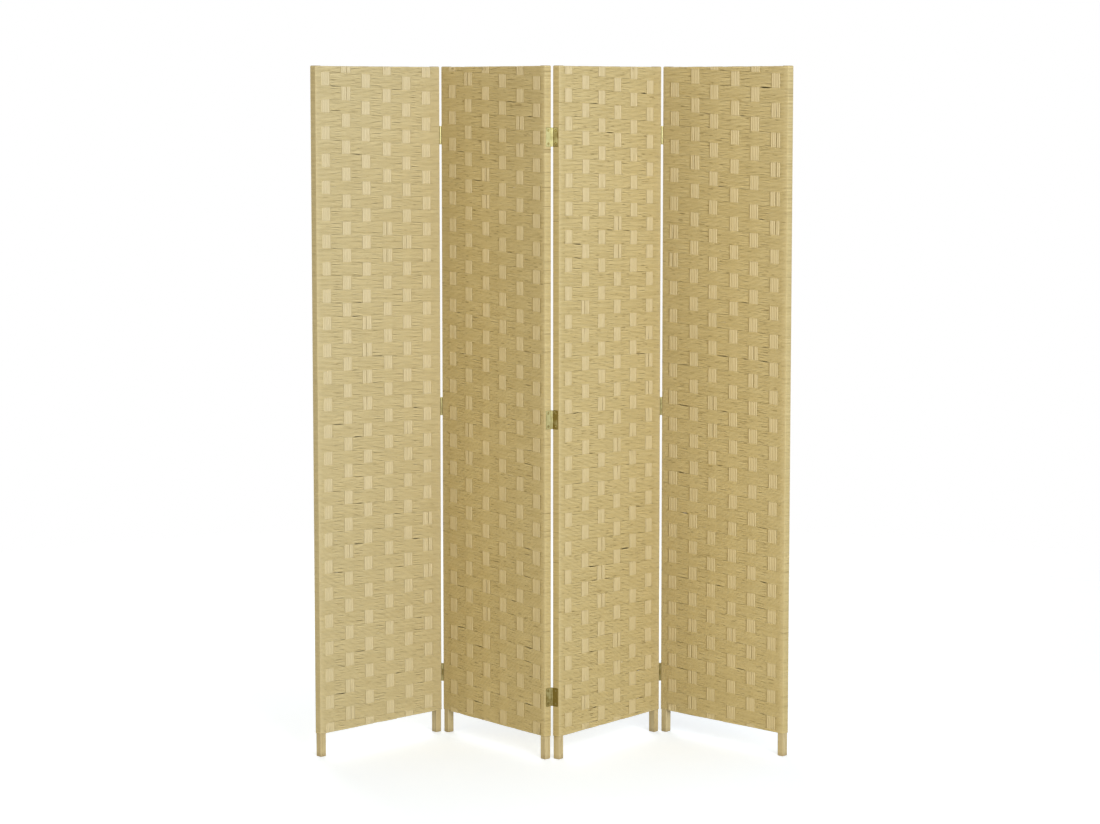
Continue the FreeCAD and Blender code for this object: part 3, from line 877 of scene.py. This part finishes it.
def cap(shape, *rings):
    # a flat face; the rings after the first are its holes
    edges = []
    for around in rings:
        for first, second in zip(around, around[1:] + around[:1]):
            edges.append(shape.edges.get((first, second)) or shape.edges.new((first, second)))
    bmesh.ops.triangle_fill(shape, use_beauty=True, edges=edges)


def finishShape(shape, name):
    # a plain object for the tree to repeat, smooth but for its sharp edges
    bmesh.ops.recalc_face_normals(shape, faces=shape.faces)
    for face in shape.faces:
        face.smooth = True
    for edge in shape.edges:
        edge.smooth = edge.calc_face_angle(0) < radians(sharpAngle)
    mesh = bpy.data.meshes.new(name)
    shape.to_mesh(mesh)
    shape.free()
    piece = bpy.data.objects.new(name, mesh)
    scene.collection.objects.link(piece)
    return piece


def plateRing(inset, x):
    spec = hingeSpec
    half = spec["height"] / 2 - inset
    far = spec["reach"] - inset
    near = spec["neck"] + max(inset - spec["edge"], 0)
    radius = max(spec["corner"] - inset, spec["edge"])
    points = [(x, near, -half)]
    for side, first in ((-1, -90), (1, 0)):
        for step in range(cornerPoints):
            turn = radians(first + 90 / (cornerPoints - 1) * step)
            height = side * (half - radius) + radius * sin(turn)
            points.append((x, far - radius + radius * cos(turn), height))
    return points + [(x, near, half)]


def knuckleRing(radius, z):
    spec = hingeSpec
    near = spec["clearance"]
    far = near + spec["thick"]
    first = acos(near / spec["barrel"])
    last = 2 * pi + acos(far / spec["barrel"])
    turns = [first + (last - first) * step / roundSteps for step in range(roundSteps + 1)]
    arc = [(radius * cos(turn), radius * sin(turn), z) for turn in turns]
    return [(near, spec["neck"], z), *arc, (far, spec["neck"], z)]


def leafShape(side):
    spec = hingeSpec
    shape = newShape()
    face = spec["clearance"]
    back = face + spec["thick"]
    edge = spec["edge"]
    tone = spec["rimTone"]
    # the rim rings are drawn darker: tarnish and painted shade along the edges and around the screws
    front = ring(shape, plateRing(edge + spec["rimBand"], face))
    dull = [ring(shape, plateRing(inset, x), tone) for inset, x in ((edge, face), (0, face + edge))]
    rear = ring(shape, plateRing(0, back), tone)
    wall(shape, front, *dull, rear)
    frontHoles = []
    rearHoles = []
    headHole = spec["head"] + spec["play"]
    shankHole = spec["shank"] + spec["play"]
    for height in (-spec["screwSpacing"] / 2, spec["screwSpacing"] / 2):
        # the countersink is drawn darker: painted shade and tarnish
        stations = ((headHole + spec["collarBand"], face, 0), (headHole, face, 1),
                    (shankHole, face + spec["countersink"], 1), (shankHole, back, 1))
        hole = [ring(shape, screwRing(radius, x, spec["screwLine"], height), rim)
                for radius, x, rim in stations]
        wall(shape, *hole)
        frontHoles.append(hole[0])
        rearHoles.append(hole[-1])
    cap(shape, front, *frontHoles)
    cap(shape, rear, *rearHoles)
    third = spec["height"] / 6
    gap = spec["knuckleGap"] / 2
    half = spec["height"] / 2
    # the knuckles are kept mostly out of the leaf's painted shade
    unshadedKnuckles = -spec["dulled"][side]
    spans = {"right": ((-half, -third - gap), (third + gap, half)), "left": ((gap - third, third - gap),)}
    barrel = spec["barrel"]
    for low, high in spans[side]:
        stations = ((barrel - edge, low), (barrel, low + edge),
                    (barrel, high - edge), (barrel - edge, high))
        rings = [ring(shape, knuckleRing(radius, z), unshadedKnuckles) for radius, z in stations]
        wall(shape, *rings)
        bore = [ring(shape, pinRing(spec["bore"], z, roundSteps)) for z in (low, high)]
        wall(shape, *bore)
        cap(shape, rings[0], bore[0])
        cap(shape, rings[-1], bore[1])
    return finishShape(shape, f"{side}Leaf")


def screwShape():
    spec = hingeSpec
    shape = newShape()
    face = spec["headFace"]
    tip = face + spec["screwLength"]
    stations = ((spec["head"] * spec["headTop"], face), (spec["head"], face + spec["headEdge"]),
                (spec["shank"], face + spec["countersink"]), (spec["shank"], tip - spec["tip"]),
                (spec["tipRadius"], tip))
    rings = [ring(shape, screwRing(radius, x, 0, 0)) for radius, x in stations]
    wall(shape, *rings)
    cap(shape, rings[-1])
    reach = spec["crossReach"]
    width = spec["crossWidth"] / 2
    quarter = ((width, reach), (width, width), (reach, width))
    cross = []
    for turn in range(4):
        for y, z in quarter:
            for _ in range(turn):
                y, z = z, -y
            cross.append((y, z))
    upper = ring(shape, [(face, y, z) for y, z in cross])
    taper = spec["crossTaper"]
    # the recess's floor is drawn dark: painted shade and tarnish
    lower = ring(shape, [(face + spec["crossDepth"], y * taper, z * taper) for y, z in cross], 1)
    wall(shape, upper, lower)
    cap(shape, lower)
    cap(shape, rings[0], upper)
    return finishShape(shape, "screw")


def pinShape():
    spec = hingeSpec
    shape = newShape()
    half = spec["height"] / 2
    foot = [(share, -half - rise) for share, rise in spec["dome"]]
    top = [(share, half + rise) for share, rise in spec["dome"][::-1]]
    rings = [ring(shape, pinRing(share * spec["pin"], z, pinSteps)) for share, z in foot + top]
    wall(shape, *rings)
    cap(shape, rings[0])
    cap(shape, rings[-1])
    return finishShape(shape, "pin")


hingeInputs = {
    "Shape": "Object",
    "Levels": "Int",
    "Lowest": "Float",
    "Level Pitch": "Float",
    "Twins": "Int",            # pieces at one level
    "Twin Pitch": "Float",
    "Line": "Float",           # from the pin
    "Spin": "Float",           # most that a piece is turned
    "Painted Leaf Shade": "Float",
    "Seed": "Int",
    "Material": "Material",
}


def hingeTree():
    graph, given = newTree("hingeRow", hingeInputs)
    add = graph.add
    points = add("GeometryNodeMeshLine", {}, {"Count": given["Levels"] * given["Twins"]})
    index = add("GeometryNodeInputIndex")
    level = ((index + 0.5) / given["Twins"]).floor()
    twin = index - level * given["Twins"] - (given["Twins"] - 1) * 0.5
    height = given["Lowest"] + level * given["Level Pitch"] + twin * given["Twin Pitch"]
    place = graph.vector(0, given["Line"], height)
    points = add("GeometryNodeSetPosition", {}, {"Geometry": points, "Position": place})
    spin = add("FunctionNodeRandomValue", {}, {7: index, 8: given["Seed"]}, 1) * given["Spin"]
    turned = add("FunctionNodeEulerToRotation", {}, {0: graph.vector(spin, 0, 0)})
    shape = add("GeometryNodeObjectInfo", {}, {"Object": given["Shape"]}, "Geometry")
    # painted shade for the whole leaf
    dulled = {"Geometry": shape, "Name": "dulled", "Value": given["Painted Leaf Shade"]}
    shape = add("GeometryNodeStoreNamedAttribute", {"data_type": "FLOAT", "domain": "POINT"}, dulled)
    values = {"Points": points, "Instance": shape, "Rotation": turned}
    return closeTree(graph, add("GeometryNodeInstanceOnPoints", {}, values), given["Material"])


def hangEnd(tree, shapes, joint, panel, side):
    # the leaves, screws and pins on one panel's end, in a frame from the pin into the panel
    matrix = panelMatrix(panel)
    pin = matrix.inverted() @ Vector(joint["pos_m"])
    inward = -1 if pin.x > 0 else 1
    depth = -1 if pin.y > 0 else 1
    ending = matrix @ Matrix.Translation((pin.x, pin.y, 0)) @ Matrix.Diagonal((inward, depth, 1, 1))
    leaves = [f"{level}_leaf_{panel}_{side}" for level in ("lower", "middle", "upper")]
    lowest, _, highest = [sum(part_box(leaf), Vector()).z / 2 for leaf in leaves]
    shared = {
        "Levels": len(leaves),
        "Lowest": lowest,
        "Level Pitch": (highest - lowest) / (len(leaves) - 1),
        "Twins": 1,
        "Twin Pitch": 0.0,
        "Line": 0.0,
        "Spin": 0.0,
        "Painted Leaf Shade": 0.0,
        "Seed": panel,
    }
    screws = {
        "Twins": 2,
        "Twin Pitch": hingeSpec["screwSpacing"],
        "Line": hingeSpec["screwLine"],
        "Spin": pi,
    }
    title = side.capitalize()
    rows = [
        (f"leaves{panel}{title}", "hinge_metal", leaves,
         {"Shape": shapes[side], "Material": hingeBrass, "Painted Leaf Shade": hingeSpec["dulled"][side]}),
        (f"screws{panel}{title}", "screw_metal", [f"hinge_screws_{panel}_{side}"],
         {"Shape": shapes["screw"], "Material": screwBrass, **screws}),
    ]
    if side == "right":
        rows.append((f"pins{panel}", "pin_metal", [f"hinge_pins_{panel}_{panel + 1}"],
                     {"Shape": shapes["pin"], "Material": screwBrass}))
    for name, slot, replaced, own in rows:
        piece = runTree(tree, name, {**shared, **own})
        piece.data.transform(ending)
        if ending.determinant() < 0:
            piece.data.flip_normals()
        addPiece(piece, panel, slot, *replaced)


shapes = {"right": leafShape("right"), "left": leafShape("left"), "screw": screwShape(), "pin": pinShape()}
hinge = hingeTree()
for joint in frame["joints"]:
    left, right = [int(word) for word in joint["name"].split("_")[1:]]
    hangEnd(hinge, shapes, joint, left, "right")
    hangEnd(hinge, shapes, joint, right, "left")
for shape in shapes.values():
    bpy.data.objects.remove(shape)


# Camera and light

cameraSpec = {
    "place": (-0.0390, -6.7711, 1.6347),
    "pitch": 5.516,      # degrees down
    "yaw": 0.296,        # degrees to the right
    "lens": 89.58,
    "shift": -0.05,
}
camera = bpy.data.objects.new("camera", bpy.data.cameras.new("camera"))
camera.location = cameraSpec["place"]
camera.rotation_euler = (radians(90 - cameraSpec["pitch"]), 0, radians(-cameraSpec["yaw"]))
camera.data.lens = cameraSpec["lens"]
camera.data.shift_y = cameraSpec["shift"]
scene.collection.objects.link(camera)
scene.camera = camera

# a soft box at the right, a warm weaker one at the left, and one behind for the other side
lampSpec = {
    "key": {"place": (2.1, -4.2, 2.0), "aim": (0, 0, 0.95), "size": 2.6,
            "power": 177.0, "colour": (1.0, 1.0, 1.0)},
    "fill": {"place": (-4.0, -3.0, 2.7), "aim": (0, 0, 1.05), "size": 3.2,
             "power": 61.0, "colour": (1.0, 0.78, 0.36)},
    "back": {"place": (-1.2, 4.8, 2.7), "aim": (0, 0, 1.05), "size": 3.2,
             "power": 150.0, "colour": (1.0, 0.98, 0.94)},
}
for name, spec in lampSpec.items():
    lamp = bpy.data.lights.new(name, "AREA")
    lamp.energy = spec["power"]
    lamp.color = spec["colour"]
    lamp.size = spec["size"]
    holder = bpy.data.objects.new(name, lamp)
    holder.location = spec["place"]
    holder.rotation_euler = (Vector(spec["place"]) - Vector(spec["aim"])).to_track_quat("Z", "Y").to_euler()
    scene.collection.objects.link(holder)


def seenDirectly(graph):
    # 1 where the camera, a mirror or glass looks straight at the surroundings
    path = graph.add("ShaderNodeLightPath", out="Is Camera Ray")
    seen = path.math("MAXIMUM", path.other("Is Glossy Ray"))
    return seen.math("MAXIMUM", path.other("Is Transmission Ray"))


roomSpec = {
    "ambient": 0.40,
    "floorSize": 12.0,
    "floorFade": (1.5, 3.5),    # the floor goes over into the white around it between these radii
    "floorColour": (0.71, 0.775, 0.86),   # cool, so that it is neutral under the warm lamp
    "floorRough": 0.9,
    "floorGlow": 0.39,
    "mottle": 0.01,             # how much paler the floor is in places
    "mottleScale": 2.0,
}
world = bpy.data.worlds.new("studio")
world.use_nodes = True
scene.world = world
graph = Graph(world.node_tree)
strength = seenDirectly(graph) * (1 - roomSpec["ambient"]) + roomSpec["ambient"]
background = world.node_tree.nodes["Background"]
background.inputs["Color"].default_value = (1, 1, 1, 1)
world.node_tree.links.new(strength.socket, background.inputs["Strength"])

material, graph, shader = newMaterial("paleFloor")
place = graph.add("ShaderNodeTexCoord", out="Object")
mottle = graph.noise(place, roomSpec["mottleScale"], 3.0)
tone = roomSpec["floorColour"]
graph.feed(shader, {
    "Base Color": graph.mixColour(mottle, tone, [channel + roomSpec["mottle"] for channel in tone]),
    "Roughness": roomSpec["floorRough"],
    "Emission Color": graph.mixColour(seenDirectly(graph), (0, 0, 0), (1, 1, 1)),
    "Emission Strength": roomSpec["floorGlow"],
})
near, far = roomSpec["floorFade"]
radius = graph.add("ShaderNodeVectorMath", {"operation": "LENGTH"}, {0: place}, "Value")
clear = graph.add("ShaderNodeBsdfTransparent")
solid = Field(graph, shader.outputs["BSDF"])
fade = ((radius - near) / (far - near)).clip(0, 1)
faded = graph.add("ShaderNodeMixShader", {}, {0: fade, 1: solid, 2: clear})
graph.tree.links.new(faded.socket, graph.tree.nodes["Material Output"].inputs["Surface"])
bpy.ops.mesh.primitive_plane_add(size=roomSpec["floorSize"])
floor = bpy.context.object
floor.name = "floor"
floor.data.materials.append(material)
print("camera, lamps and floor set")
